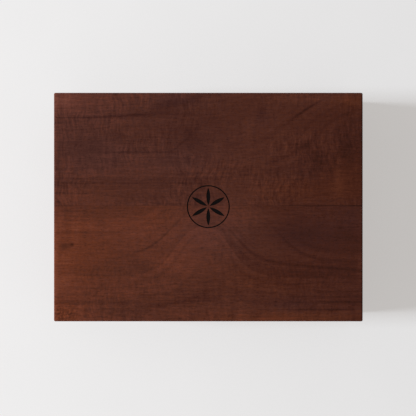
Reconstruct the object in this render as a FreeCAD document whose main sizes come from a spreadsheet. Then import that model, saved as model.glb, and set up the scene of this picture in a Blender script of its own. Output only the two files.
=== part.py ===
import FreeCAD, Part

import os
import re

import Sketcher

# A wooden keepsake box whose lid covers it edge to edge and slides out along its length.
#
# Millimetres, Z up. The origin is the middle of the footprint, level with the undersides of the
# feet. X runs along the length, and the lid opens towards +X, the front. Left is +Y.
#
# The side walls run the full length and carry the lowest and the highest finger of each corner
# joint. The end walls fit between them. The floor panel floats in a groove all the way round.
# The lid is two boards glued edge to edge: a cover as large as the box, with a dovetail tongue
# under it that runs in slots in the side walls. The front end is lower, so the tongue passes it.

SIZES = (
    ("box_length", 210.0, "outside length"),
    ("box_width", 155.5, "outside width"),
    ("wall_height", 55.5, "height of the side walls and of the back end"),
    ("side_thick", 10.0, "thickness of the side walls"),
    ("end_thick", 10.0, "thickness of the end walls"),
    ("end_fingers", 3, "fingers of an end wall at each corner"),
    ("corner_radius", 1.0, "rounding of the upright outside corners"),
    ("seam_chamfer", 0.6, "chamfer on each side of the seam between walls and lid"),
    ("lower_chamfer", 0.6, "chamfer round the lower outside edge of the walls"),
    ("panel_thick", 5.0, "thickness of the floor panel"),
    ("panel_lift", 4.0, "height of the floor panel above the lower edge of the walls"),
    ("groove_depth", 4.0, "depth of the groove that holds the floor panel"),
    ("panel_play", 0.5, "room for the floor panel to swell at each edge"),
    ("liner_thick", 1.5, "thickness of the felt on the floor"),
    ("liner_play", 0.4, "gap between the felt and each wall"),
    ("cover_thick", 8.0, "thickness of the lid above the walls"),
    ("tongue_depth", 6.0, "depth of the lid's tongue"),
    ("tongue_flare", 2.2, "how far each flank of the tongue leans out"),
    ("tongue_lead", 1.5, "chamfer on the back corners of the tongue"),
    ("running_gap", 0.3, "clearance of the tongue in its slots"),
    ("glue_line", 1.0, "how far the lid's glue line lies left of the middle"),
    ("lid_arris", 0.8, "rounding of the lid's upper edges"),
    ("scoop_width", 30.0, "width of the thumb scoop at the top edge of the front end"),
    ("scoop_depth", 5.0, "depth of the thumb scoop at that edge"),
    ("foot_diameter", 8.0, "diameter of the felt feet"),
    ("foot_thick", 1.5, "thickness of the felt feet"),
    ("foot_inset", 8.0, "distance of a foot's middle from the end of its side wall"),
)

SIZE = {name: value for name, value, meaning in SIZES}

# Lengths that several pieces share, each worked out from the sizes above.
HALF_LENGTH = "(box_length / 2)"
HALF_WIDTH = "(box_width / 2)"
ROOM_HALF_LENGTH = "(box_length / 2 - end_thick)"
ROOM_HALF_WIDTH = "(box_width / 2 - side_thick)"
FINGER = "(wall_height / (2 * end_fingers + 1))"
SLOT_FLARE = "(tongue_flare * (tongue_depth + running_gap) / tongue_depth)"
FRONT_HEIGHT = "(wall_height - tongue_depth - running_gap)"
TONGUE_BACK = "(box_length / 2 - end_thick - running_gap)"
TONGUE_HALF_WIDTH = "(box_width / 2 - side_thick - running_gap)"
SCOOP_RADIUS = "(scoop_width * scoop_width / (8 * scoop_depth) + scoop_depth / 2)"

FRONT = 1
BACK = -1
LEFT = 1
RIGHT = -1
TOLERANCE = 1e-4


def in_sheet(expression):
    """The expression with each size named as a cell of the sheet."""
    return re.sub(r"\b([a-z]+_[a-z]+)\b", r"sizes.\1", expression)


def bind(item, prop, expression):
    item.setExpression(prop, in_sheet(expression))


def write_sizes(doc):
    sheet = doc.addObject("Spreadsheet::Sheet", "sizes")
    for row, (name, value, meaning) in enumerate(SIZES, start=1):
        sheet.set(f"A{row}", meaning)
        sheet.set(f"B{row}", str(value))
        sheet.setAlias(f"B{row}", name)
    doc.recompute()


def place(item, across, along, up):
    """Stands a sub-part's own origin at a point of the box, given as three expressions."""
    bind(item, "Placement.Base.x", across)
    bind(item, "Placement.Base.y", along)
    bind(item, "Placement.Base.z", up)


def new_body(doc, label, across, along, up):
    body = doc.addObject("PartDesign::Body", label)
    body.Label = label
    place(body, across, along, up)
    return body


def sketch_on(body, name, role, moved="0"):
    """A sketch on one of the body's origin planes, moved along the plane's normal."""
    sketch = body.newObject("Sketcher::SketchObject", name)
    plane = next(item for item in body.Origin.OriginFeatures if item.Role == role)
    sketch.AttachmentSupport = [(plane, "")]
    sketch.MapMode = "FlatFace"
    bind(sketch, "AttachmentOffset.Base.z", moved)
    return sketch


def pin_point(sketch, name, line, across, up):
    """Holds the start of a line at (across, up) in its sketch. A 0 puts it on the axis."""
    rough = sketch.getPoint(line, 1)
    directions = (("X", -2, rough.x, across), ("Y", -1, rough.y, up))
    for direction, axis, value, expression in directions:
        if expression == "0":
            sketch.addConstraint(Sketcher.Constraint("PointOnObject", line, 1, axis))
            continue
        held = Sketcher.Constraint(f"Distance{direction}", -1, 1, line, 1, value)
        label = f"{name}{direction}"
        sketch.renameConstraint(sketch.addConstraint(held), label)
        bind(sketch, f"Constraints.{label}", expression)


def join_ends(sketch, first, second):
    """Joins the end of one line to the start of the next."""
    sketch.addConstraint(Sketcher.Constraint("Coincident", first, 2, second, 1))


def outline(sketch, name, corners):
    """A closed outline of straight lines through corners, each a pair of expressions."""
    first = sketch.GeometryCount
    count = len(corners)
    rough = [FreeCAD.Vector(number, number**2, 0) for number in range(count)]
    for number in range(count):
        line = Part.LineSegment(rough[number], rough[(number + 1) % count])
        sketch.addGeometry(line, False)
    for number, (across, up) in enumerate(corners):
        join_ends(sketch, first + number, first + (number + 1) % count)
        pin_point(sketch, f"{name}{number}", first + number, across, up)


def rectangle(sketch, name, one_side, other_side, low, high):
    corners = (one_side, low), (other_side, low), (other_side, high), (one_side, high)
    outline(sketch, name, corners)


def finish(body, feature, uncut=None):
    """Makes the feature the tip. Stops if it failed, or left a cut body at its uncut volume."""
    body.Tip = feature
    body.Document.recompute()
    if not feature.isValid():
        raise RuntimeError(f"{body.Label}: {feature.Name} failed")
    if uncut is not None and feature.Shape.Volume > uncut - TOLERANCE:
        raise RuntimeError(f"{body.Label}: {feature.Name} cuts nothing")


def pad(body, name, sketch, length, turned=False):
    """Adds a sketch's area, along the sketch's normal, or against it when turned."""
    feature = body.newObject("PartDesign::Pad", name)
    feature.Profile = sketch
    feature.Reversed = turned
    bind(feature, "Length", length)
    finish(body, feature)


def pocket(body, name, sketch, length, turned=False):
    """Cuts a sketch's area, against the sketch's normal, or along it when turned."""
    uncut = body.Tip.Shape.Volume
    feature = body.newObject("PartDesign::Pocket", name)
    feature.Profile = sketch
    feature.Reversed = turned
    bind(feature, "Length", length)
    finish(body, feature, uncut)
    return feature


def repeat_upwards(body, name, feature, sketch, count, spacing):
    """Repeats a cut up the vertical axis of its sketch."""
    uncut = body.Tip.Shape.Volume
    pattern = body.newObject("PartDesign::LinearPattern", name)
    pattern.Originals = [feature]
    pattern.Direction = (sketch, ["V_Axis"])
    pattern.Mode = "Spacing"
    bind(pattern, "Offset", spacing)
    bind(pattern, "Occurrences", count)
    finish(body, pattern, uncut)


def dress_edges(body, kind, name, size, wanted):
    """Puts a Fillet or a Chamfer on each edge whose bounding box the function wanted accepts."""
    base = body.Tip
    edges = enumerate(base.Shape.Edges, start=1)
    chosen = [f"Edge{number}" for number, edge in edges if wanted(edge.BoundBox)]
    feature = body.newObject(f"PartDesign::{kind}", name)
    feature.Base = (base, chosen)
    bind(feature, "Radius" if kind == "Fillet" else "Size", size)
    finish(body, feature)


def at(value, low, high):
    """True where a span from low to high is one point, at value."""
    return abs(low - value) < TOLERANCE and abs(high - value) < TOLERANCE


def level_edges(height, left_out):
    """Accepts the level edges at a height, but for the one that left_out accepts."""

    def wanted(box):
        return at(height, box.ZMin, box.ZMax) and not left_out(box)

    return wanted


def side_wall(doc, label, hand):
    """A long wall. Its own origin is the middle of the lower edge of its outer face."""
    body = new_body(doc, label, "0", f"{hand} * {HALF_WIDTH}", "foot_thick")
    turned = hand == RIGHT
    inner = f"({-hand} * side_thick)"

    blank = sketch_on(body, "blank", "XZ_Plane")
    rectangle(blank, "blank", f"-{HALF_LENGTH}", HALF_LENGTH, "0", "wall_height")
    pad(body, "board", blank, "side_thick", turned)

    def upright_corner(box):
        return at(0, box.YMin, box.YMax) and box.XLength < TOLERANCE

    def inner_edge(box):
        return at(-hand * SIZE["side_thick"], box.YMin, box.YMax)

    dress_edges(body, "Fillet", "corners", "corner_radius", upright_corner)
    upper = level_edges(SIZE["wall_height"], inner_edge)
    dress_edges(body, "Chamfer", "seam", "seam_chamfer", upper)
    dress_edges(body, "Chamfer", "lower_edge", "lower_chamfer", level_edges(0, inner_edge))

    slot = sketch_on(body, "slot_profile", "YZ_Plane", f"-{ROOM_HALF_LENGTH}")
    flared = f"{inner} + {hand} * {SLOT_FLARE}"
    outline(slot, "slot", ((inner, "wall_height"), (inner, FRONT_HEIGHT), (flared, FRONT_HEIGHT)))
    pocket(body, "lid_slot", slot, "box_length", turned=True)

    groove = sketch_on(body, "groove_profile", "XZ_Plane", f"{hand} * side_thick")
    reach = f"({ROOM_HALF_LENGTH} + groove_depth)"
    rectangle(groove, "groove", f"-{reach}", reach, "panel_lift", "panel_lift + panel_thick")
    pocket(body, "panel_groove", groove, "groove_depth", turned)

    gaps = sketch_on(body, "finger_gaps", "XZ_Plane", f"{hand} * side_thick")
    for end, name in ((FRONT, "front"), (BACK, "back")):
        span = f"{end} * {ROOM_HALF_LENGTH}", f"{end} * box_length"
        rectangle(gaps, name, *span, FINGER, f"2 * {FINGER}")
    first = pocket(body, "lowest_gaps", gaps, "2 * side_thick", turned)
    repeat_upwards(body, "all_gaps", first, gaps, "end_fingers", f"2 * {FINGER}")
    return body


def end_wall(doc, label, end):
    """A short wall. Its own origin is the middle of the lower edge of its outer face."""
    body = new_body(doc, label, f"{end} * {HALF_LENGTH}", "0", "foot_thick")
    turned = end == FRONT
    top = FRONT_HEIGHT if end == FRONT else "wall_height"

    blank = sketch_on(body, "blank", "YZ_Plane")
    rectangle(blank, "blank", f"-{HALF_WIDTH}", HALF_WIDTH, "0", top)
    pad(body, "board", blank, "end_thick", turned)
    height = body.Tip.Shape.BoundBox.ZMax

    def upright_corner(box):
        return at(0, box.XMin, box.XMax) and box.YLength < TOLERANCE

    def inner_edge(box):
        return at(-end * SIZE["end_thick"], box.XMin, box.XMax)

    dress_edges(body, "Fillet", "corners", "corner_radius", upright_corner)
    dress_edges(body, "Chamfer", "seam", "seam_chamfer", level_edges(height, inner_edge))
    dress_edges(body, "Chamfer", "lower_edge", "lower_chamfer", level_edges(0, inner_edge))

    groove = sketch_on(body, "groove_profile", "YZ_Plane", f"{-end} * end_thick")
    reach = f"({ROOM_HALF_WIDTH} + groove_depth)"
    rectangle(groove, "groove", f"-{reach}", reach, "panel_lift", "panel_lift + panel_thick")
    pocket(body, "panel_groove", groove, "groove_depth", turned)

    gaps = sketch_on(body, "finger_gaps", "YZ_Plane", f"{-end} * end_thick")
    for hand, name in ((LEFT, "left"), (RIGHT, "right")):
        span = f"{hand} * {ROOM_HALF_WIDTH}", f"{hand} * box_width"
        rectangle(gaps, name, *span, "0", FINGER)
    first = pocket(body, "lowest_gaps", gaps, "2 * end_thick", turned)
    repeat_upwards(body, "all_gaps", first, gaps, "end_fingers + 1", f"2 * {FINGER}")

    if end == FRONT:
        cut_thumb_scoop(body)
    return body


def cut_thumb_scoop(body):
    """A dish in the outer face, half of a ball's print, whose middle is at the top edge."""
    uncut = body.Tip.Shape.Volume
    ball = body.newObject("PartDesign::SubtractiveSphere", "thumb_scoop")
    bind(ball, "Radius", SCOOP_RADIUS)
    place(ball, f"{SCOOP_RADIUS} - scoop_depth", "0", FRONT_HEIGHT)
    finish(body, ball, uncut)


def lid_board(doc, label, hand):
    """Half of the lid. Its own origin is the middle of the glue line, under the cover."""
    body = new_body(doc, label, "0", "glue_line", "foot_thick + wall_height")
    edge = f"({hand} * {HALF_WIDTH} - glue_line)"

    blank = sketch_on(body, "blank", "XY_Plane")
    rectangle(blank, "blank", f"-{HALF_LENGTH}", HALF_LENGTH, "0", edge)
    pad(body, "cover", blank, "cover_thick")

    def glued_edge(box):
        return at(0, box.YMin, box.YMax)

    def upright_corner(box):
        return box.ZLength > TOLERANCE and not glued_edge(box)

    dress_edges(body, "Fillet", "corners", "corner_radius", upright_corner)
    upper = level_edges(SIZE["cover_thick"], glued_edge)
    dress_edges(body, "Fillet", "arris", "lid_arris", upper)
    dress_edges(body, "Chamfer", "seam", "seam_chamfer", level_edges(0, glued_edge))

    tongue = sketch_on(body, "tongue_profile", "YZ_Plane", f"-{TONGUE_BACK}")
    neck = f"({hand} * {TONGUE_HALF_WIDTH} - glue_line)"
    profile = (
        ("0", "cover_thick / 2"),
        ("0", "-tongue_depth"),
        (f"{neck} + {hand} * tongue_flare", "-tongue_depth"),
        (neck, "0"),
        (neck, "cover_thick / 2"),
    )
    outline(tongue, "tongue", profile)
    pad(body, "tongue", tongue, f"{TONGUE_BACK} + {HALF_LENGTH}")

    def back_corner(box):
        leans = box.YLength > TOLERANCE and box.ZLength > TOLERANCE
        return leans and box.XLength < TOLERANCE and -TOLERANCE > box.XMin > -SIZE["box_length"] / 2

    dress_edges(body, "Chamfer", "lead", "tongue_lead", back_corner)
    return body


def floor_panel(doc, label):
    """The floating floor. Its own origin is the middle of its underside."""
    body = new_body(doc, label, "0", "0", "foot_thick + panel_lift")
    blank = sketch_on(body, "blank", "XY_Plane")
    half_length = f"({ROOM_HALF_LENGTH} + groove_depth - panel_play)"
    half_width = f"({ROOM_HALF_WIDTH} + groove_depth - panel_play)"
    rectangle(blank, "blank", f"-{half_length}", half_length, f"-{half_width}", half_width)
    pad(body, "panel", blank, "panel_thick")
    return body


def felt_liner(doc, label):
    """The felt on the floor. Its own origin is the middle of its underside."""
    body = new_body(doc, label, "0", "0", "foot_thick + panel_lift + panel_thick")
    blank = sketch_on(body, "blank", "XY_Plane")
    half_length = f"({ROOM_HALF_LENGTH} - liner_play)"
    half_width = f"({ROOM_HALF_WIDTH} - liner_play)"
    rectangle(blank, "blank", f"-{half_length}", half_length, f"-{half_width}", half_width)
    pad(body, "felt", blank, "liner_thick")
    return body


def felt_foot(doc, label, end, hand):
    """A foot under one end of a side wall. Its own origin is the middle of its underside."""
    disc = doc.addObject("Part::Cylinder", label)
    disc.Label = label
    bind(disc, "Radius", "foot_diameter / 2")
    bind(disc, "Height", "foot_thick")
    across = f"{end} * ({HALF_LENGTH} - foot_inset)"
    place(disc, across, f"{hand} * ({HALF_WIDTH} - side_thick / 2)", "0")
    return disc


def build(doc):
    """Every sub-part of the box, each labelled with its name."""
    parts = [
        side_wall(doc, "left_side", LEFT),
        side_wall(doc, "right_side", RIGHT),
        end_wall(doc, "front_end", FRONT),
        end_wall(doc, "back_end", BACK),
        floor_panel(doc, "bottom_panel"),
        felt_liner(doc, "floor_liner"),
        lid_board(doc, "lid_left_board", LEFT),
        lid_board(doc, "lid_right_board", RIGHT),
    ]
    for end, end_name in ((FRONT, "front"), (BACK, "back")):
        for hand, hand_name in ((LEFT, "left"), (RIGHT, "right")):
            parts.append(felt_foot(doc, f"foot_{end_name}_{hand_name}", end, hand))
    return parts


def stop_if_broken(doc, parts):
    doc.recompute()
    for item in doc.Objects:
        if {"Invalid", "Error"} & set(item.State):
            raise RuntimeError(f"{item.Label} failed: {item.State}")
    for part in parts:
        if part.Shape.isNull() or not part.Shape.isValid() or len(part.Shape.Solids) != 1:
            raise RuntimeError(f"{part.Label} is not one valid solid")


def main():
    doc = FreeCAD.newDocument("keepsake_box")
    write_sizes(doc)
    parts = build(doc)
    stop_if_broken(doc, parts)
    os.makedirs("parts", exist_ok=True)
    for part in parts:
        part.Shape.exportStep(f"parts/{part.Label}.step")
        box = part.Shape.optimalBoundingBox()
        size = f"{box.XLength:.2f} x {box.YLength:.2f} x {box.ZLength:.2f} mm"
        print(f"{part.Label}: {size}, {part.Shape.Volume:.0f} cubic mm")


main()
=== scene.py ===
import math

import bmesh
import bpy
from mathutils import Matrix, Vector, noise


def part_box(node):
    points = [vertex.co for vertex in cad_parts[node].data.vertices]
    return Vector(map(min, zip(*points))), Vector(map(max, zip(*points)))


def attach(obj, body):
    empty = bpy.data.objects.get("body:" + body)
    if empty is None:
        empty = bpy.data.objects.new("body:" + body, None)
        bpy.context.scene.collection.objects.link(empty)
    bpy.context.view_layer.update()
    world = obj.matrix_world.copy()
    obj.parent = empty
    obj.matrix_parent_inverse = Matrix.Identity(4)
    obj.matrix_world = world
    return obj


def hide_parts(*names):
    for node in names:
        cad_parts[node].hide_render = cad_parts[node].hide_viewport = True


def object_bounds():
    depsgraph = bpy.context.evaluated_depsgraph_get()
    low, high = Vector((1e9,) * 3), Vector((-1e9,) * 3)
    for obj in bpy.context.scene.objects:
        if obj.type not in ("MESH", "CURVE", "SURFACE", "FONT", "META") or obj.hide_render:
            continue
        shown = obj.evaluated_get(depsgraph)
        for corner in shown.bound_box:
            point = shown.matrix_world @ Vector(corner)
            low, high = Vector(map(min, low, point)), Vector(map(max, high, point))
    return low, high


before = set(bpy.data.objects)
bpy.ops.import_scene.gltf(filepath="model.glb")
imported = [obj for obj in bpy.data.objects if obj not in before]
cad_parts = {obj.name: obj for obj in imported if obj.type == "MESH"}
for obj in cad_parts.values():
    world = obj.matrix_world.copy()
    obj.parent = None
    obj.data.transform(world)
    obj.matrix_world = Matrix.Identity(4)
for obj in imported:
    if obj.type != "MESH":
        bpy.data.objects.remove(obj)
CAD_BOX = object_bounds()

bl_info = {
    "name": "Keepsake Box",
    "version": (1, 0, 0),
    "blender": (4, 5, 0),
    "location": "View3D > Sidebar > Box",
    "description": "Finishes a wooden keepsake box with a sliding lid, and sets it on a pale table",
    "category": "Object",
}

# Everything is in metres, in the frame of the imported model: X along the box, towards its front,
# Y to the left, Z up from the table. Inside the finishes, places and sizes are in millimetres.

MM = 0.001

LID_TOP = CAD_BOX[1].z
GLUE_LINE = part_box("lid_left_board")[0].y
SIDE_INNER_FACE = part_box("left_side")[0].y
END_INNER_FACE = -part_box("back_end")[1].x
WALL_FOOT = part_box("left_side")[0].z
WALL_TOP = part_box("left_side")[1].z
FINGERS = 7


# Sockets as numbers


class Field:
    """A number that varies over a surface, held by a socket of a finish's node tree."""

    def __init__(self, finish, socket):
        self.finish = finish
        self.socket = socket

    def maths(self, operation, *others):
        return self.finish.maths(operation, self, *others)

    def __add__(self, other):
        return self.maths("ADD", other)

    __radd__ = __add__

    def __sub__(self, other):
        return self.maths("SUBTRACT", other)

    def __rsub__(self, other):
        return self.finish.maths("SUBTRACT", other, self)

    def __mul__(self, other):
        return self.maths("MULTIPLY", other)

    __rmul__ = __mul__

    def __truediv__(self, other):
        return self.maths("DIVIDE", other)

    def __pow__(self, other):
        return self.maths("POWER", other)

    def __abs__(self):
        return self.maths("ABSOLUTE")


class Finish:
    """A material in the making: its node tree, and the ways to add to it."""

    def __init__(self, name):
        self.material = bpy.data.materials.new(name)
        self.material.use_nodes = True
        self.tree = self.material.node_tree
        self.surface = self.tree.nodes["Principled BSDF"]
        self.output = self.tree.nodes["Material Output"]

    def add(self, kind, settings=None, inputs=None):
        """Adds a node: its settings first, then the values or links of its sockets."""
        node = self.tree.nodes.new(kind)
        for name, value in (settings or {}).items():
            if name == "stops":
                self.set_stops(node.color_ramp, value)
            else:
                setattr(node, name, value)
        for name, value in (inputs or {}).items():
            self.feed(node.inputs[name], value)
        return node

    def set_stops(self, ramp, stops):
        """Gives a colour ramp its stops, each a place from 0 to 1 and a colour."""
        while len(ramp.elements) < len(stops):
            ramp.elements.new(1.0)
        for element, (place, colour) in zip(ramp.elements, stops):
            element.position = place
            element.color = (*colour, 1.0)

    def feed(self, socket, value):
        if isinstance(value, Field):
            value = value.socket
        if isinstance(value, bpy.types.NodeSocket):
            self.tree.links.new(value, socket)
        elif socket.type == "RGBA" and len(value) == 3:
            socket.default_value = (*value, 1.0)
        else:
            socket.default_value = value

    def maths(self, operation, *values):
        node = self.add("ShaderNodeMath", {"operation": operation}, dict(enumerate(values)))
        return Field(self, node.outputs[0])

    def clip(self, value):
        """The value kept between 0 and 1."""
        node = self.add("ShaderNodeClamp", inputs={"Value": value})
        return Field(self, node.outputs[0])

    def step(self, value, low, high):
        """0 below low and 1 above high, with a smooth step between. It falls where low > high."""
        inputs = {"Value": value, "From Min": low, "From Max": high}
        node = self.add("ShaderNodeMapRange", {"interpolation_type": "SMOOTHSTEP"}, inputs)
        return Field(self, node.outputs[0])

    def hump(self, distance, width):
        """1 where the distance is 0, falling away as a bell of the given half width."""
        scaled = distance / width
        return self.maths("EXPONENT", scaled * scaled * -1.0)

    def spot(self, place, middle, reach):
        """A soft oval spot, from the place (along, across), its middle and its half sizes."""
        parts = [(at - centre) / size for at, centre, size in zip(place, middle, reach)]
        return self.maths("EXPONENT", (parts[0] * parts[0] + parts[1] * parts[1]) * -1.0)

    def split(self, vector):
        node = self.add("ShaderNodeSeparateXYZ", inputs={0: vector})
        return [Field(self, socket) for socket in node.outputs]

    def place(self):
        """The place on the piece in millimetres, as x, y and z."""
        node = self.add("ShaderNodeTexCoord")
        return [field / MM for field in self.split(node.outputs["Object"])]

    def cloud(self, place, seed, detail=2.0, roughness=0.5):
        """Soft noise about 0, of a grain of 1 in the place's own scale."""
        first, second, third = place
        joined = self.add("ShaderNodeCombineXYZ", inputs={0: first, 1: second, 2: third + seed})
        inputs = {"Vector": joined.outputs[0], "Scale": 1.0, "Detail": detail, "Roughness": roughness}
        node = self.add("ShaderNodeTexNoise", inputs=inputs)
        return Field(self, node.outputs[0]) - 0.5

    def chance(self, number):
        """A random value from 0 to 1 for each whole number."""
        node = self.add("ShaderNodeTexWhiteNoise", {"noise_dimensions": "1D"}, {"W": number})
        return Field(self, node.outputs[0])

    def mix(self, factor, first, second):
        """Mixes two colours. Returns the colour's socket."""
        node = self.add("ShaderNodeMix", {"data_type": "RGBA"}, {0: factor, 6: first, 7: second})
        return node.outputs[2]

    def tint(self, colour, other):
        """Multiplies a colour by another."""
        node = self.add("ShaderNodeVectorMath", {"operation": "MULTIPLY"}, {0: colour, 1: other})
        return node.outputs[0]

    def shade(self, colour, amount):
        """Multiplies a colour by a number."""
        node = self.add("ShaderNodeVectorMath", {"operation": "SCALE"}, {0: colour, "Scale": amount})
        return node.outputs[0]

    def ramp(self, value, stops):
        node = self.add("ShaderNodeValToRGB", {"stops": stops}, {0: value})
        return node.outputs[0]

    def bump(self, height, strength):
        """A bump from a height in millimetres."""
        inputs = {"Height": height, "Distance": MM, "Strength": strength}
        node = self.add("ShaderNodeBump", inputs=inputs)
        self.feed(self.surface.inputs["Normal"], node.outputs[0])


def plain(colour):
    """A colour as numbers from 0 to 255 in the picture, turned into the light that it gives."""
    shares = [channel / 255 for channel in colour]
    return tuple(((share + 0.055) / 1.055) ** 2.4 for share in shares)


# The wood

HEART_DEPTH = 55.0  # how far under the table the middle of the trunk lies, before a board's seed
RING_BEND = 7.0  # the growth rings wander by about half of this to each side
WAVE_WANDER = 9.0  # and so do the waves across the grain
LINE_FADE = 12.0  # half the length over which a thin line of the figure fades at its ends


class GrainFrame:
    """A board's own directions in millimetres: along and across the grain, and up."""

    def __init__(self, finish, runs_across):
        x, y, self.up = finish.place()
        node = finish.add("ShaderNodeTexCoord")
        face_x, face_y, _ = finish.split(node.outputs["Normal"])
        self.along, self.across = (y, x) if runs_across else (x, y)
        self.end_grain = finish.step(abs(face_y if runs_across else face_x), 0.55, 0.85)

    def scaled(self, along, across):
        """The place for a texture with so many grains per millimetre along and across."""
        return self.along * along, self.across * across, self.up * across


def wood_colours(look, level):
    """The ramp of a wood's tones, from its darkest to its palest, made lighter by level."""
    tones = (look.dark, look.deep, look.middle, look.warm, look.pale)
    places = (0.0, 0.3, 0.5, 0.72, 1.0)
    return [(place, tuple(channel * level for channel in tone)) for place, tone in zip(places, tones)]


class Figure:
    """A board's own markings: the line that its rings follow, tone, rosiness, shading, and how
    strong its fine texture is.
    """

    def __init__(self, line, tone=0.0, rose=0.0, shading=1.0, texture=1.0):
        self.line = line
        self.tone = tone
        self.rose = rose
        self.shading = shading
        self.texture = texture


def growth_rings(finish, grain, line, spacing, seed):
    """The dark late wood of each growth ring, of its own strength, cut from a trunk along the board."""
    depth = grain.up + HEART_DEPTH + seed
    radius = finish.maths("SQRT", line * line + depth * depth)
    phase = radius / spacing
    within = finish.maths("FRACT", phase)
    late = finish.step(within, 0.35, 0.95) * finish.step(within, 1.0, 0.96)
    return late * (finish.chance(finish.maths("FLOOR", phase) + seed) ** 2.0)


def curly_waves(finish, grain, seed):
    """Waves across the grain, which wander and are plain in some places and faint in others."""
    wander = finish.cloud(grain.scaled(0.05, 0.07), seed + 39.0, detail=1.0) * WAVE_WANDER
    waves = (grain.along + wander) * 0.54, grain.across * 0.11, grain.up * 0.11
    plainness = finish.cloud(grain.scaled(0.022, 0.030), seed + 43.0, detail=1.0)
    height = finish.cloud(waves, seed + 41.0, detail=2.0, roughness=0.75)
    return height * (0.35 + finish.step(plainness, -0.12, 0.12))


def finish_wood(name, look, seed, runs_across=False, level=1.0, vivid=1.0, curled=0.25, figure=None,
                lines=None):
    """A dark oiled hardwood. vivid deepens its growth lines and curled its waves across the grain,
    figure adds a board's own marks, and lines darkens its joints.
    """
    finish = Finish(name)
    grain = GrainFrame(finish, runs_across)
    marks = figure(finish, grain) if figure else Figure(grain.across)
    line = marks.line + finish.cloud(grain.scaled(0.010, 0.018), seed, detail=1.0) * RING_BEND
    rings = growth_rings(finish, grain, line, look.ring_spacing / MM, seed)
    beside_rings = grain.along * 0.012, line * 0.42, grain.up * 0.42
    streaks = finish.cloud(beside_rings, seed + 3.0, detail=5.0, roughness=0.6)

    fibres = finish.cloud(grain.scaled(0.14, 1.5), seed + 7.0, detail=2.0, roughness=0.6)
    strands = finish.cloud(grain.scaled(0.08, 0.85), seed + 37.0, detail=2.0, roughness=0.6)
    mottle = finish.cloud(grain.scaled(0.52, 0.72), seed + 9.0, detail=1.0, roughness=0.6)
    flecks = finish.cloud(grain.scaled(0.34, 0.60), seed + 29.0, detail=1.0, roughness=0.6)
    patches = finish.cloud(grain.scaled(0.016, 0.034), seed + 11.0, detail=2.0)
    ribbon = finish.cloud(grain.scaled(0.20, 0.03), seed + 13.0, detail=1.0)
    ribbon = ribbon * finish.step(patches, -0.05, 0.12)
    pore_noise = finish.cloud(grain.scaled(0.34, 2.0), seed + 17.0, detail=1.0)
    pores = finish.step(pore_noise + patches * 0.08, 0.10, 0.20)
    curl = curly_waves(finish, grain, seed) * curled

    lengthwise = (streaks * 0.22 - rings * 0.10) * vivid
    fine = fibres * 0.13 + mottle * 0.17 + strands * 0.33 + curl * 0.56
    tone = 0.5 + lengthwise + patches * 0.20 + ribbon * 0.30 + fine * marks.texture
    tone = tone + marks.tone - grain.end_grain * 0.16
    colour = finish.ramp(finish.clip(tone), wood_colours(look, level))
    hue = finish.clip(0.5 + patches * 0.6 + flecks * 1.1 + marks.rose)
    colour = finish.tint(colour, finish.mix(hue, look.golden, look.rosy))
    shading = (1.0 - pores * 0.30) * marks.shading
    if lines:
        shading = shading * lines(finish)
    finish.feed(finish.surface.inputs["Base Color"], finish.shade(colour, shading))
    gloss = look.roughness + pores * 0.2 - fibres * 0.12 + grain.end_grain * 0.08
    finish.feed(finish.surface.inputs["Roughness"], gloss)
    finish.surface.inputs["Specular IOR Level"].default_value = look.shine
    finish.bump(fibres * 0.03 + mottle * 0.02 - pores * 0.05, 0.7)
    return finish


def streaks_along(finish, line, along, streaks):
    """Thin lines of the figure. Each has a level, a start and an end, a width and a depth."""
    total = 0.0
    for level, start, end, width, depth in streaks:
        begins = finish.step(along, start - LINE_FADE, start + LINE_FADE)
        stops = finish.step(along, end + LINE_FADE, end - LINE_FADE)
        total = total + finish.hump(line - level, width) * begins * stops * depth
    return total


def blotches(finish, grain, spots):
    """Soft spots. Each has a middle, a half length and half width, a lean, and a tone."""
    total = 0.0
    for along, across, half_length, half_width, lean, tone in spots:
        leaning = grain.across - (grain.along - along) * lean
        spot = finish.spot((grain.along, leaning), (along, across), (half_length, half_width))
        total = total + spot * tone
    return total


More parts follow.
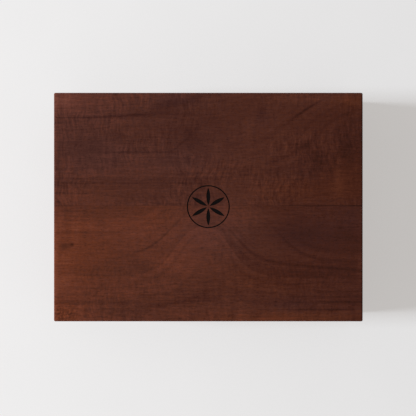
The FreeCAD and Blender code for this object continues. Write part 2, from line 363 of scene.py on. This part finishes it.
def left_board_figure(finish, grain):
    """Lines level at the back that climb towards the front."""
    along, across = grain.along, grain.across
    line = across - finish.step(along, 0.0, 110.0) * finish.step(across, -10.0, 75.0) * 42.0
    line = line - finish.step(along, -84.0, -30.0) * finish.step(across, 40.0, 60.0) * 2.2
    dark_lines = (
        (60.9, -118.0, -40.0, 0.6, 0.22),
        (61.6, -60.0, -24.0, 1.6, 0.10),
        (37.2, -66.0, -26.0, 0.7, 0.20),
        (16.3, -112.0, 4.0, 0.6, 0.12),
        (9.5, -112.0, -84.0, 0.6, 0.16),
        (24.0, 34.0, 106.0, 0.9, 0.08),
        (37.4, 62.0, 70.0, 0.8, 0.42),
        (29.5, 60.0, 110.0, 1.2, 0.06),
    )
    spots = (
        (-21.0, 71.0, 20.0, 3.2, 0.23, -0.19),
        (-18.3, 43.3, 4.5, 1.3, 0.87, -0.16),
        (-82.0, 42.0, 26.0, 20.0, 0.0, -0.18),
        (-18.0, 50.0, 32.0, 22.0, 0.0, -0.15),
        (35.0, 9.0, 30.0, 12.0, 0.0, 0.12),
        (36.0, 63.3, 3.0, 4.0, 0.0, -0.12),
        (74.5, 30.0, 5.0, 7.0, 0.0, -0.11),
        (94.0, 40.0, 5.0, 9.0, 0.0, -0.13),
        (83.0, 43.0, 3.5, 4.0, 0.0, 0.10),
        (88.5, 18.0, 3.5, 11.0, 0.0, 0.12),
        (90.0, 12.0, 14.0, 9.0, 0.0, 0.06),
        (27.0, 50.0, 3.0, 9.0, 0.0, 0.06),
        (-97.0, 73.0, 11.0, 7.0, 0.0, 0.17),
        (-93.0, 6.0, 20.0, 5.0, 0.0, 0.06),
        (98.0, 73.0, 9.0, 4.0, 0.0, 0.12),
        (66.0, 74.0, 34.0, 3.0, 0.0, 0.12),
        (-104.0, 28.0, 5.0, 34.0, 0.0, -0.09),
    )
    rosy = (
        (98.0, 72.0, 12.0, 6.0, 0.0, -0.35),
        (-76.0, 34.0, 14.0, 9.0, 0.0, 0.35),
        (-20.0, 30.0, 16.0, 7.0, 0.0, 0.25),
        (-24.0, 73.0, 16.0, 4.0, 0.0, 0.30),
        (37.0, 61.0, 6.0, 5.0, 0.0, 0.25),
        (-84.0, 6.0, 36.0, 14.0, 0.0, -0.36),
        (95.0, 20.0, 16.0, 14.0, 0.0, -0.42),
        (64.0, 12.0, 28.0, 9.0, 0.0, -0.28),
    )
    tone = blotches(finish, grain, spots) - streaks_along(finish, line, along, dark_lines)
    # The edge term paints a highlight on the back edge and shade on the front edge. The wood also
    # darkens towards the front: partly its own tone, partly painted shade for the falloff of the key
    # light.
    tone = tone + edge_highlight_and_shade(finish, grain) - along * 0.0016
    rose = blotches(finish, grain, rosy) + 0.13 - along * 0.0030
    texture = 1.08 - finish.step(across, 38.0, 60.0) * finish.step(along, -100.0, 20.0) * 0.30
    return Figure(line, tone, rose, glue_shadow(finish, grain), texture)


def right_board_figure(finish, grain):
    """Lines that rise to a peak in the middle, and a small knot near the back."""
    along, across = grain.along, grain.across
    line = across - finish.hump(along + 3.0, 28.0) * finish.step(across, -78.0, -16.0) * 34.0
    line = line + finish.step(along, 35.0, 120.0) * finish.step(across, -56.0, -45.0) * 5.0
    fan = across - finish.hump(along - 22.0, 30.0) * 39.8
    dark_lines = (
        (-32.6, -50.0, -20.0, 0.9, 0.20),
        (-38.4, 12.0, 112.0, 1.1, 0.16),
        (-43.5, 0.0, 80.0, 1.6, 0.05),
        (-31.5, -96.0, -60.0, 0.6, 0.10),
        (-52.0, -60.0, 60.0, 1.0, 0.06),
        (-17.2, -112.0, -56.0, 0.6, 0.08),
        (-65.0, -112.0, -50.0, 1.5, 0.10),
        (-67.5, -46.0, 6.0, 1.6, 0.16),
        (-57.6, 56.0, 112.0, 0.7, 0.07),
        (-61.0, 40.0, 112.0, 0.6, 0.08),
        (-64.5, 44.0, 112.0, 0.6, 0.10),
        (-69.7, 52.0, 96.0, 0.7, 0.20),
    )
    fan_lines = ((-37.0, 46.0, 100.0, 1.2, 0.12), (-30.0, 60.0, 110.0, 1.6, 0.08))
    spots = (
        (64.0, -18.6, 22.0, 9.0, -0.12, -0.15),
        (96.0, -20.0, 12.0, 6.0, -0.2, -0.10),
        (-72.0, -54.0, 7.0, 2.6, 0.0, -0.08),
        (-97.4, -27.0, 3.4, 2.2, 0.2, -0.24),
        (-99.0, -27.0, 7.0, 4.0, 0.0, -0.06),
        (-7.0, -19.0, 26.0, 17.0, 0.0, 0.16),
        (-4.0, -42.0, 13.0, 7.0, 0.0, 0.10),
        (22.0, -6.0, 12.0, 8.0, 0.0, 0.12),
        (-29.0, -36.0, 14.0, 7.0, -0.1, 0.15),
        (-99.0, -42.0, 11.0, 20.0, 0.0, 0.13),
        (-54.0, -10.0, 34.0, 12.0, 0.0, 0.08),
        (-88.0, -1.0, 34.0, 6.0, 0.0, -0.15),
        (62.0, -75.5, 56.0, 4.0, 0.0, 0.11),
        # a painted highlight on the rounding of the front edge
        (103.5, -41.0, 3.0, 10.0, 0.0, 0.14),
        (-92.0, -75.5, 14.0, 3.0, 0.0, 0.06),
        (-54.0, -71.0, 24.0, 6.0, 0.0, -0.14),
    )
    rosy = (
        (2.0, -16.0, 26.0, 20.0, 0.0, 0.45),
        (64.0, -19.0, 26.0, 11.0, 0.0, 0.42),
        (62.0, -76.0, 56.0, 5.0, 0.0, -0.50),
        (-92.0, -24.0, 22.0, 26.0, 0.0, -0.32),
        (-97.0, -72.0, 13.0, 8.0, 0.0, -0.35),
        (97.0, -8.0, 6.0, 6.0, 0.0, 0.30),
        (55.0, -66.0, 12.0, 4.0, 0.0, 0.30),
        (30.0, -50.0, 26.0, 9.0, 0.0, -0.20),
    )
    place = along, across
    specks = finish.cloud(grain.scaled(0.60, 0.60), 83.0, detail=1.0) - 0.03
    tone = blotches(finish, grain, spots) - streaks_along(finish, line, along, dark_lines)
    tone = tone - streaks_along(finish, fan, along, fan_lines)
    tone = tone + specks * finish.spot(place, (-98.0, -73.0), (9.0, 6.0)) * 1.3
    # The edge term paints a highlight on the back edge and shade on the front edge. The wood also
    # darkens towards the front: partly its own tone, partly painted shade for the falloff of the key
    # light.
    tone = tone + edge_highlight_and_shade(finish, grain) - along * 0.0019
    rose = blotches(finish, grain, rosy) - 0.12
    knot = 1.0 - finish.spot(place, (-92.7, -25.4), (1.3, 1.1)) * 0.6
    calm = finish.spot(place, (74.0, -21.0), (44.0, 15.0)) * 0.62
    texture = 1.08 + finish.step(across, -40.0, -62.0) * finish.step(along, 90.0, 0.0) * 0.35 - calm
    return Figure(line, tone, rose, glue_shadow(finish, grain) * knot, texture)


def edge_highlight_and_shade(finish, grain):
    """A painted highlight, paler wood along the back edge of the lid's top where the key light falls,
    and painted shade, a darker front edge facing away from it.
    """
    top = LID_TOP / MM
    level = finish.step(grain.up, top - 3.0, top - 0.5)
    # painted highlight along the back edge, the side that faces the key light
    painted_highlight = finish.step(grain.along, -101.0, -105.5) * 0.22
    # painted shade along the front edge, the side that faces away from the key light
    dark = finish.step(grain.along, 103.6, 104.8) * 0.22
    return (painted_highlight - dark) * level


def glue_shadow(finish, grain):
    """The hair line where the lid's two boards meet, plainest at its ends."""
    ends = 0.2 + finish.step(grain.along, 40.0, 66.0) + finish.step(grain.along, -70.0, -92.0) * 0.5
    across = grain.across - GLUE_LINE / MM
    # The line is darker over its last centimetre at the front end.
    front_end_darkening = finish.spot((grain.along, across), (103.0, 0.0), (10.0, 1.1))
    return 1.0 - finish.hump(across, 0.42) * ends * 0.34 - front_end_darkening * 0.14


def joint_lines(finish):
    """Hair lines between the fingers of the corner joints."""
    x, y, z = finish.place()
    pitch = (WALL_TOP - WALL_FOOT) / MM / FINGERS
    height = (z - WALL_FOOT / MM) / pitch
    to_level = abs(finish.maths("FRACT", height + 0.5) - 0.5) * pitch
    past_side = abs(y) - SIDE_INNER_FACE / MM
    past_end = abs(x) - END_INNER_FACE / MM
    corner = finish.step(past_side, -0.1, 0.1) * finish.step(past_end, -0.1, 0.1)
    level_line = finish.hump(to_level, 0.12) * corner
    return 1.0 - level_line * 0.5


# The pieces

PETALS = 6
PETAL_CORNERS = 14  # on each side of a petal
RING_CORNERS = 96
FOOT_CORNERS = 48
FLAT = 0.99999  # a direction whose largest share is more than this lies along the box's own planes
FELT_RAGGED = 0.0002  # how unevenly the liner is cut, in metres


def new_piece(name, mesh):
    piece = bpy.data.objects.new(name, mesh)
    bpy.context.scene.collection.objects.link(piece)
    return piece


def dress_node(node, finish):
    """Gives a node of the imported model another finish, and leaves its shape alone."""
    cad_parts[node].material_slots[0].material = finish.material


def prism(name, rings, low, high):
    """A closed upright prism. rings are outlines of (x, y), the outer one first."""
    mesh = bpy.data.meshes.new(name)
    build = bmesh.new()
    floors = [[build.verts.new((x, y, low)) for x, y in ring] for ring in rings]
    roofs = [[build.verts.new((x, y, high)) for x, y in ring] for ring in rings]
    for floor, roof in zip(floors, roofs):
        for number, corner in enumerate(floor):
            following = (number + 1) % len(floor)
            build.faces.new((corner, floor[following], roof[following], roof[number]))
    for level in (floors, roofs):
        if len(rings) == 1:
            build.faces.new(level[0])
        else:
            count = len(level[0])
            for number in range(count):
                following = (number + 1) % count
                corners = level[0][number], level[0][following], level[1][following], level[1][number]
                build.faces.new(corners)
    bmesh.ops.recalc_face_normals(build, faces=build.faces)
    build.to_mesh(mesh)
    build.free()
    return mesh


def circle(radius, middle, count):
    turns = [2 * math.pi * number / count for number in range(count)]
    return [(middle[0] + radius * math.cos(turn), middle[1] + radius * math.sin(turn)) for turn in turns]


def petal(middle, turn, sizes):
    """A pointed oval between two radii, its two sides arcs, turned about the middle."""
    length = sizes.petal_end - sizes.petal_start
    width = sizes.petal_width
    bow = (length * length + width * width) / (4 * width)
    points = []
    for side in (-1, 1):
        for number in range(PETAL_CORNERS):
            reach = side * length * (number / PETAL_CORNERS - 0.5)
            out = side * (math.sqrt(bow * bow - reach * reach) - (bow - width / 2))
            points.append((sizes.petal_start + length / 2 + reach, out))
    cosine, sine = math.cos(turn), math.sin(turn)
    return [(middle[0] + x * cosine - y * sine, middle[1] + x * sine + y * cosine) for x, y in points]


def ornament_cutters(sizes):
    """The solids that the rosette is cut with: a thin ring, and six petals inside it."""
    middle = (0.0, sizes.middle)
    low = LID_TOP - sizes.depth
    high = LID_TOP + sizes.depth
    outer = circle(sizes.radius, middle, RING_CORNERS)
    inner = circle(sizes.radius - sizes.line, middle, RING_CORNERS)
    meshes = [prism("ring_cutter", (outer, inner), low, high)]
    for number in range(PETALS):
        turn = math.radians(30 + 360 / PETALS * number)
        outline = petal(middle, turn, sizes)
        meshes.append(prism(f"petal_cutter_{number}", (outline,), low, high))
    return meshes


def cut_away(piece, cutter):
    """Cuts one object's space out of another, for good."""
    difference = piece.modifiers.new("cut", "BOOLEAN")
    difference.operation = "DIFFERENCE"
    difference.solver = "EXACT"
    difference.material_mode = "TRANSFER"
    difference.object = cutter
    graph = bpy.context.evaluated_depsgraph_get()
    cut = bpy.data.meshes.new_from_object(piece.evaluated_get(graph))
    piece.modifiers.clear()
    piece.data = cut


def is_flat(direction):
    """True for the direction of a face that lies along the box's own planes."""
    return max(abs(share) for share in direction) > FLAT


def shade_roundings(mesh):
    """Shades the flat faces flat, and the small roundings between them as one smooth curve."""
    around = [[] for _ in mesh.vertices]
    for face in mesh.polygons:
        for corner in face.vertices:
            around[corner].append(face)
    nearly = math.cos(math.radians(30))
    directions = [None] * len(mesh.loops)
    for face in mesh.polygons:
        for loop in face.loop_indices:
            near = [other for other in around[mesh.loops[loop].vertex_index]
                    if other.normal.dot(face.normal) > nearly]
            flat = [other.normal for other in near if is_flat(other.normal)]
            if is_flat(face.normal):
                directions[loop] = face.normal.copy()
            elif flat:
                directions[loop] = flat[0].copy()
            else:
                directions[loop] = sum((other.normal for other in near), Vector()).normalized()
    mesh.shade_smooth()
    mesh.normals_split_custom_set(directions)


def engraved_board(name, node, finish, scorch, cutters):
    """A copy of a lid board with the ornament cut into its top."""
    piece = new_piece(name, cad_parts[node].data.copy())
    piece.data.materials.clear()
    piece.data.materials.append(finish.material)
    for mesh in cutters:
        cutter = new_piece(f"{name}_cutter", mesh.copy())
        cutter.data.materials.append(scorch.material)
        cut_away(piece, cutter)
        bpy.data.objects.remove(cutter)
    shade_roundings(piece.data)
    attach(piece, "lid")
    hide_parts(node)


def finish_scorch(look):
    """Wood burnt black by the engraving, with a little of its grain left."""
    finish = Finish("scorched_wood")
    grain = GrainFrame(finish, False)
    fibres = finish.cloud(grain.scaled(0.2, 3.0), 5.0, detail=3.0)
    colour = finish.ramp(finish.clip(0.5 + fibres), [(0.0, plain((9, 7, 7))), (1.0, look.scorch)])
    finish.feed(finish.surface.inputs["Base Color"], colour)
    finish.feed(finish.surface.inputs["Roughness"], 0.75 + fibres * 0.2)
    finish.surface.inputs["Specular IOR Level"].default_value = look.shine
    finish.bump(fibres * 0.08, 0.8)
    return finish


def finish_felt(name, look, seed):
    """Matted wool: tangled hairs, some of them pale, a mottled tone and a soft sheen."""
    finish = Finish(name)
    place = finish.place()
    hairs = finish.cloud([at * 1.6 for at in place], seed, detail=5.0, roughness=0.72)
    twisted = [at * 0.55 + hairs * 1.4 for at in place]
    tufts = finish.cloud(twisted, seed + 5.0, detail=4.0, roughness=0.7)
    broad = finish.cloud([at * 0.05 for at in place], seed + 9.0)
    strays = 0.0
    for number, turn in enumerate((0.3, 1.4, 2.5)):
        bent = finish.cloud([at * 0.30 for at in place], seed + 13.0 + number) * 9.0
        down = place[0] * math.cos(turn) + place[1] * math.sin(turn)
        over = place[1] * math.cos(turn) - place[0] * math.sin(turn)
        lane = finish.cloud((down * 0.16, over * 1.3 + bent, place[2]), seed + 17.0 + number, detail=1.0)
        strays = strays + finish.hump(lane - 0.06, 0.02)
    tone = finish.clip(0.5 + hairs * 0.9 + tufts * 0.8 + broad * 0.4 + strays * 0.24)
    stops = [(0.0, look.dark), (0.5, look.middle), (1.0, look.pale)]
    finish.feed(finish.surface.inputs["Base Color"], finish.ramp(tone, stops))
    finish.feed(finish.surface.inputs["Roughness"], 0.9 + hairs * 0.1)
    finish.surface.inputs["Specular IOR Level"].default_value = 0.1
    finish.surface.inputs["Sheen Weight"].default_value = 0.12
    finish.surface.inputs["Sheen Roughness"].default_value = 0.5
    finish.bump(hairs * 0.35 + tufts * 0.30 + strays * 0.08, 0.9)
    return finish


def ripple(x, y, reach, seed):
    """A soft rise and fall from -1 to 1 with the given reach, the same on every run."""
    return noise.noise(Vector((x / reach, y / reach, seed)))


def felt_sheet(name, low, high, step, loft):
    """A thin laid sheet: flat below, soft above, with rounded and slightly ragged edges."""
    size_x, size_y = high.x - low.x, high.y - low.y
    columns, rows = round(size_x / step), round(size_y / step)
    round_edge = (high.z - low.z) * 0.45
    mesh = bpy.data.meshes.new(name)
    build = bmesh.new()

    def point(column, row, top):
        x = low.x + size_x * column / columns
        y = low.y + size_y * row / rows
        inset = FELT_RAGGED * (1 + ripple(x, y, 0.004, 3.0))
        x += inset * ((column == 0) - (column == columns))
        y += inset * ((row == 0) - (row == rows))
        if not top:
            return build.verts.new((x, y, low.z))
        edge = min(x - low.x, high.x - x, y - low.y, high.y - y)
        drop = round_edge * max(0.0, 1 - edge / (1.5 * round_edge)) ** 2
        soft = loft * (ripple(x, y, 0.018, 1.0) + 0.5 * ripple(x, y, 0.006, 2.0) - 1.0)
        return build.verts.new((x, y, high.z + soft - drop))

    for top in (False, True):
        grid = [[point(column, row, top) for row in range(rows + 1)] for column in range(columns + 1)]
        for near, far in zip(grid, grid[1:]):
            for row in range(rows):
                build.faces.new((near[row], far[row], far[row + 1], near[row + 1]))
    rims = [edge for edge in build.edges if edge.is_boundary]
    bmesh.ops.bridge_loops(build, edges=rims)
    bmesh.ops.recalc_face_normals(build, faces=build.faces)
    build.to_mesh(mesh)
    build.free()
    mesh.shade_smooth()
    return new_piece(name, mesh)


def felt_disc(name, node, finish):
    """A punched disc of felt with a soft rim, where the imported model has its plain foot."""
    low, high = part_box(node)
    middle = (low + high) / 2
    radius = (high.x - low.x) / 2
    thick = high.z - low.z
    profile = ((0.5, 0.0), (0.93, 0.0), (0.99, 0.10), (1.0, 0.5), (0.985, 0.93), (0.93, 1.0), (0.5, 1.0))
    mesh = bpy.data.meshes.new(name)
    build = bmesh.new()
    rings = []
    for share, rise in profile:
        ring = []
        for east, north in circle(1.0, (0.0, 0.0), FOOT_CORNERS):
            ragged = 1 - 0.012 * (1 + noise.noise(Vector((east * 3, north * 3, rise))))
            reach = radius * share * ragged
            place = (middle.x + reach * east, middle.y + reach * north, low.z + thick * rise)
            ring.append(build.verts.new(place))
        rings.append(ring)
    for under, over in zip(rings, rings[1:]):
        for number in range(FOOT_CORNERS):
            following = (number + 1) % FOOT_CORNERS
            build.faces.new((under[number], under[following], over[following], over[number]))
    build.faces.new(rings[0])
    build.faces.new(rings[-1])
    bmesh.ops.recalc_face_normals(build, faces=build.faces)
    build.to_mesh(mesh)
    build.free()
    mesh.shade_smooth()
    mesh.set_sharp_from_angle(angle=math.radians(50))
    mesh.materials.append(finish.material)
    piece = new_piece(name, mesh)
    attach(piece, "box")
    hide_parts(node)


# The stage

TABLE_REACH = 4.0
PICTURE_WIDTH = 36.0  # the width in millimetres that the lens is given for


def seen_rays(tree):
    """The share of the rays that show the stage: the camera's own, and those in gloss or glass."""
    rays = tree.nodes.new("ShaderNodeLightPath")
    total = rays.outputs["Is Camera Ray"]
    for kind in ("Is Glossy Ray", "Is Transmission Ray"):
        either = tree.nodes.new("ShaderNodeMath")
        either.operation = "MAXIMUM"
        tree.links.new(total, either.inputs[0])
        tree.links.new(rays.outputs[kind], either.inputs[1])
        total = either.outputs[0]
    return total


def finish_table(look):
    """A pale matt table, slightly mottled, with a painted light falloff near the box: lighter towards
    the back end and darker towards the front. The camera sees part of it evenly lit.
    """
    finish = Finish("pale_table")
    place = finish.place()
    broad = finish.cloud([at * 0.02 for at in place], 4.0, detail=3.0)
    fine = finish.cloud([at * 0.9 for at in place], 8.0, detail=3.0, roughness=0.7)
    mottle = 1.0 + broad * 0.02 + fine * 0.05
    # painted light falloff: the table near the box is lighter towards the back end, where the key light
    # comes from, and darker towards the front
    reach = look.painted_falloff_reach / MM
    near = finish.spot(place, (0.0, 0.0), (reach, reach))
    painted_falloff = 1.0 - place[0] * near * (look.painted_falloff * MM)
    colour = finish.shade(tuple(look.floor), mottle * painted_falloff)
    lit = finish.shade(colour, look.lit_share)
    even = finish.tint(finish.shade(colour, 1.0 - look.lit_share), tuple(look.mild))
    finish.feed(finish.surface.inputs["Base Color"], colour)
    glowing = {"Base Color": lit, "Emission Color": even, "Emission Strength": 1.0}
    seen = finish.add("ShaderNodeBsdfPrincipled", inputs=glowing)
    for shader in (finish.surface, seen):
        shader.inputs["Roughness"].default_value = 1.0
        shader.inputs["Specular IOR Level"].default_value = 0.0
    inputs = {0: seen_rays(finish.tree), 1: finish.surface.outputs[0], 2: seen.outputs[0]}
    both = finish.add("ShaderNodeMixShader", inputs=inputs)
    finish.feed(finish.output.inputs["Surface"], both.outputs[0])
    return finish


def set_world(look):
    world = bpy.data.worlds.new("soft_room")
    world.use_nodes = True
    tree = world.node_tree
    ground = tree.nodes["Background"]
    ground.inputs["Strength"].default_value = look.ambient
    ground.inputs["Color"].default_value = (*look.mild, 1.0)
    pale = tree.nodes.new("ShaderNodeBackground")
    pale.inputs["Color"].default_value = (*look.floor, 1.0)
    both = tree.nodes.new("ShaderNodeMixShader")
    tree.links.new(seen_rays(tree), both.inputs[0])
    tree.links.new(ground.outputs[0], both.inputs[1])
    tree.links.new(pale.outputs[0], both.inputs[2])
    tree.links.new(both.outputs[0], tree.nodes["World Output"].inputs["Surface"])
    bpy.context.scene.world = world


# The settings that a user would change


def tint(name, words, colour):
    return bpy.props.FloatVectorProperty(
        name=name,
        description=words,
        default=plain(colour),
        subtype="COLOR",
        min=0.0,
        max=1.0,
    )


def ratio(name, words, values):
    return bpy.props.FloatVectorProperty(name=name, description=words, default=values, min=0.0, max=2.0)


def length(name, words, value):
    return bpy.props.FloatProperty(name=name, description=words, default=value, unit="LENGTH")


def angle(name, words, degrees):
    value = math.radians(degrees)
    return bpy.props.FloatProperty(name=name, description=words, default=value, subtype="ANGLE")


def share(name, words, value):
    return bpy.props.FloatProperty(
        name=name, description=words, default=value, min=0.0, max=1.0, subtype="FACTOR"
    )


class WoodLook(bpy.types.PropertyGroup):
    dark: tint("Dark", "Darkest lines of the figure", (42, 19, 13))
    deep: tint("Deep", "Darker stretches of the wood", (63, 31, 23))
    middle: tint("Middle", "Usual tone of the wood", (77, 41, 30))
    warm: tint("Warm", "Lighter, warmer stretches", (95, 50, 36))
    pale: tint("Pale", "Palest streaks", (120, 66, 48))
    golden: ratio("Golden", "Multiplies the colour where the wood is golden", (1.09, 0.955, 0.75))
    rosy: ratio("Rosy", "Multiplies the colour where the wood is rosy", (0.935, 1.025, 1.25))
    scorch: tint("Scorch", "Palest tone of the burnt engraving", (18, 14, 13))
    ring_spacing: length("Ring spacing", "Distance between growth rings", 0.0062)
    roughness: share("Roughness", "Roughness of the oiled surface", 0.47)
    shine: share("Shine", "Strength of the reflection", 0.05)


class OrnamentSizes(bpy.types.PropertyGroup):
    radius: length("Radius", "Outer radius of the ring", 0.0146)
    line: length("Line", "Width of the ring's line", 0.0008)
    petal_start: length("Petal start", "Radius at which the petals begin", 0.0010)
    petal_end: length("Petal end", "Radius at which the petals end", 0.0128)
    petal_width: length("Petal width", "Widest part of a petal", 0.0026)
    depth: length("Depth", "Depth of the engraving", 0.0003)
    middle: length("Middle", "Place of the ornament across the lid", 0.0003)


class FeltLook(bpy.types.PropertyGroup):
    dark: tint("Dark", "Tone between the hairs", (66, 54, 43))
    middle: tint("Middle", "Usual tone of the felt", (97, 82, 67))
    pale: tint("Pale", "Palest hairs", (140, 123, 104))
    step: length("Step", "Distance between the liner's mesh lines", 0.002)
    loft: length("Loft", "Unevenness of the liner's upper side", 0.00012)


class StageLook(bpy.types.PropertyGroup):
    floor: tint("Floor", "Colour of the table", (232, 231, 231))
    lit_share: share("Lit share", "Share of the table's brightness that the lights give", 0.42)
    ambient: share("Ambient", "Strength of the light from all round", 0.30)
    key: share("Key", "Strength of the light from the back end's side", 0.73)
    key_spread: angle("Key spread", "Width of the key light as an angle", 11.5)
    # the painted light falloff on the table near the box
    painted_falloff: share("Fall", "How fast the table near the box darkens towards the front, per metre", 0.5)
    painted_falloff_reach: length("Fall reach", "How far from the box that fades away", 0.35)
    cool: ratio("Cool", "Colour of the key light", (0.93, 1.0, 1.07))
    mild: ratio("Mild", "Colour of the light from all round", (1.03, 1.0, 0.97))
    key_rise: angle("Key rise", "Height of the key light as an angle", 32)
    camera_height: length("Camera height", "Height of the camera above the lid", 0.8013)
    camera_along: length("Camera along", "Place of the camera along the box", -0.00022)
    camera_across: length("Camera across", "Place of the camera across the box", -0.00063)
    lens: bpy.props.FloatProperty(
        name="Lens",
        description="Focal length in millimetres, for a picture 36 mm wide",
        default=102.0,
        unit="CAMERA",
    )


# The steps


class KEEPSAKE_OT_engrave_lid(bpy.types.Operator):
    """Finish the lid's two boards and cut the rosette into them"""

    bl_idname = "keepsake.engrave_lid"
    bl_label = "Engrave the lid"

    def execute(self, context):
        wood = context.scene.box_wood
        scorch = finish_scorch(wood)
        cutters = ornament_cutters(context.scene.box_ornament)
        left = finish_wood("lid_left_wood", wood, seed=21.0, curled=1.0, figure=left_board_figure)
        right = finish_wood("lid_right_wood", wood, seed=47.0, curled=0.45, figure=right_board_figure)
        engraved_board("lid_left_engraved", "lid_left_board", left, scorch, cutters)
        engraved_board("lid_right_engraved", "lid_right_board", right, scorch, cutters)
        for mesh in cutters:
            bpy.data.meshes.remove(mesh)
        return {"FINISHED"}


class KEEPSAKE_OT_finish_walls(bpy.types.Operator):
    """Finish the four walls, the grain along each"""

    bl_idname = "keepsake.finish_walls"
    bl_label = "Finish the walls"

    def execute(self, context):
        wood = context.scene.box_wood
        for number, node in enumerate(("left_side", "right_side", "front_end", "back_end")):
            across = node.endswith("end")
            seed = 60.0 + 19.0 * number
            finish = finish_wood(f"{node}_wood", wood, seed, across, vivid=2.2, lines=joint_lines)
            dress_node(node, finish)
        return {"FINISHED"}


class KEEPSAKE_OT_finish_floor(bpy.types.Operator):
    """Finish the floor panel"""

    bl_idname = "keepsake.finish_floor"
    bl_label = "Finish the floor panel"

    def execute(self, context):
        wood = context.scene.box_wood
        dress_node("bottom_panel", finish_wood("panel_wood", wood, seed=152.0, level=1.25, vivid=2.2))
        return {"FINISHED"}


class KEEPSAKE_OT_lay_liner(bpy.types.Operator):
    """Lay the felt on the floor"""

    bl_idname = "keepsake.lay_liner"
    bl_label = "Lay the liner"

    def execute(self, context):
        felt = context.scene.box_felt
        low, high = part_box("floor_liner")
        liner = felt_sheet("felt_liner", low, high, felt.step, felt.loft)
        liner.data.materials.append(finish_felt("liner_felt", felt, seed=2.0).material)
        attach(liner, "box")
        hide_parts("floor_liner")
        return {"FINISHED"}


class KEEPSAKE_OT_stick_feet(bpy.types.Operator):
    """Put a felt disc where each foot is"""

    bl_idname = "keepsake.stick_feet"
    bl_label = "Stick the feet on"

    def execute(self, context):
        finish = finish_felt("foot_felt", context.scene.box_felt, seed=31.0)
        for end in ("front", "back"):
            for hand in ("left", "right"):
                felt_disc(f"felt_foot_{end}_{hand}", f"foot_{end}_{hand}", finish)
        return {"FINISHED"}


class KEEPSAKE_OT_set_stage(bpy.types.Operator):
    """Set the box on a pale table under soft light, seen from straight above"""

    bl_idname = "keepsake.set_stage"
    bl_label = "Set the stage"

    def execute(self, context):
        look = context.scene.box_stage
        mesh = bpy.data.meshes.new("table")
        build = bmesh.new()
        bmesh.ops.create_grid(build, x_segments=8, y_segments=8, size=TABLE_REACH)
        build.to_mesh(mesh)
        build.free()
        mesh.materials.append(finish_table(look).material)
        table = new_piece("table", mesh)
        set_world(look)

        lamp = bpy.data.lights.new("key", "SUN")
        lamp.angle = look.key_spread
        lamp.color = look.cool
        rise = math.sin(look.key_rise)
        lamp.energy = look.key * math.pi / rise
        key = bpy.data.objects.new("key", lamp)
        back = Vector((-math.cos(look.key_rise), 0.0, rise))
        key.location = back
        key.rotation_euler = (-back).to_track_quat("-Z", "Y").to_euler()
        key.visible_glossy = False
        context.scene.collection.objects.link(key)

        lens = bpy.data.cameras.new("camera")
        lens.lens = look.lens
        lens.sensor_width = PICTURE_WIDTH
        camera = bpy.data.objects.new("camera", lens)
        camera.location = (look.camera_along, look.camera_across, LID_TOP + look.camera_height)
        context.scene.collection.objects.link(camera)
        context.scene.camera = camera
        context.scene.view_settings.view_transform = "Standard"
        return {"FINISHED"}


SETTINGS = (
    ("box_wood", WoodLook),
    ("box_ornament", OrnamentSizes),
    ("box_felt", FeltLook),
    ("box_stage", StageLook),
)
STEPS = (
    KEEPSAKE_OT_engrave_lid,
    KEEPSAKE_OT_finish_walls,
    KEEPSAKE_OT_finish_floor,
    KEEPSAKE_OT_lay_liner,
    KEEPSAKE_OT_stick_feet,
    KEEPSAKE_OT_set_stage,
)


class KEEPSAKE_PT_box(bpy.types.Panel):
    """The box's settings and steps"""

    bl_idname = "KEEPSAKE_PT_box"
    bl_label = "Keepsake box"
    bl_space_type = "VIEW_3D"
    bl_region_type = "UI"
    bl_category = "Box"

    def draw(self, context):
        for name, group in SETTINGS:
            box = self.layout.box()
            for setting in group.__annotations__:
                box.prop(getattr(context.scene, name), setting)
        for step in STEPS:
            self.layout.operator(step.bl_idname)


def register():
    for name, group in SETTINGS:
        bpy.utils.register_class(group)
        setattr(bpy.types.Scene, name, bpy.props.PointerProperty(type=group))
    for step in STEPS:
        bpy.utils.register_class(step)
    bpy.utils.register_class(KEEPSAKE_PT_box)


def unregister():
    bpy.utils.unregister_class(KEEPSAKE_PT_box)
    for step in reversed(STEPS):
        bpy.utils.unregister_class(step)
    for name, group in reversed(SETTINGS):
        delattr(bpy.types.Scene, name)
        bpy.utils.unregister_class(group)


def main():
    register()
    bpy.ops.keepsake.engrave_lid()
    bpy.ops.keepsake.finish_walls()
    bpy.ops.keepsake.finish_floor()
    bpy.ops.keepsake.lay_liner()
    bpy.ops.keepsake.stick_feet()
    bpy.ops.keepsake.set_stage()


if __name__ == "__main__":
    main()
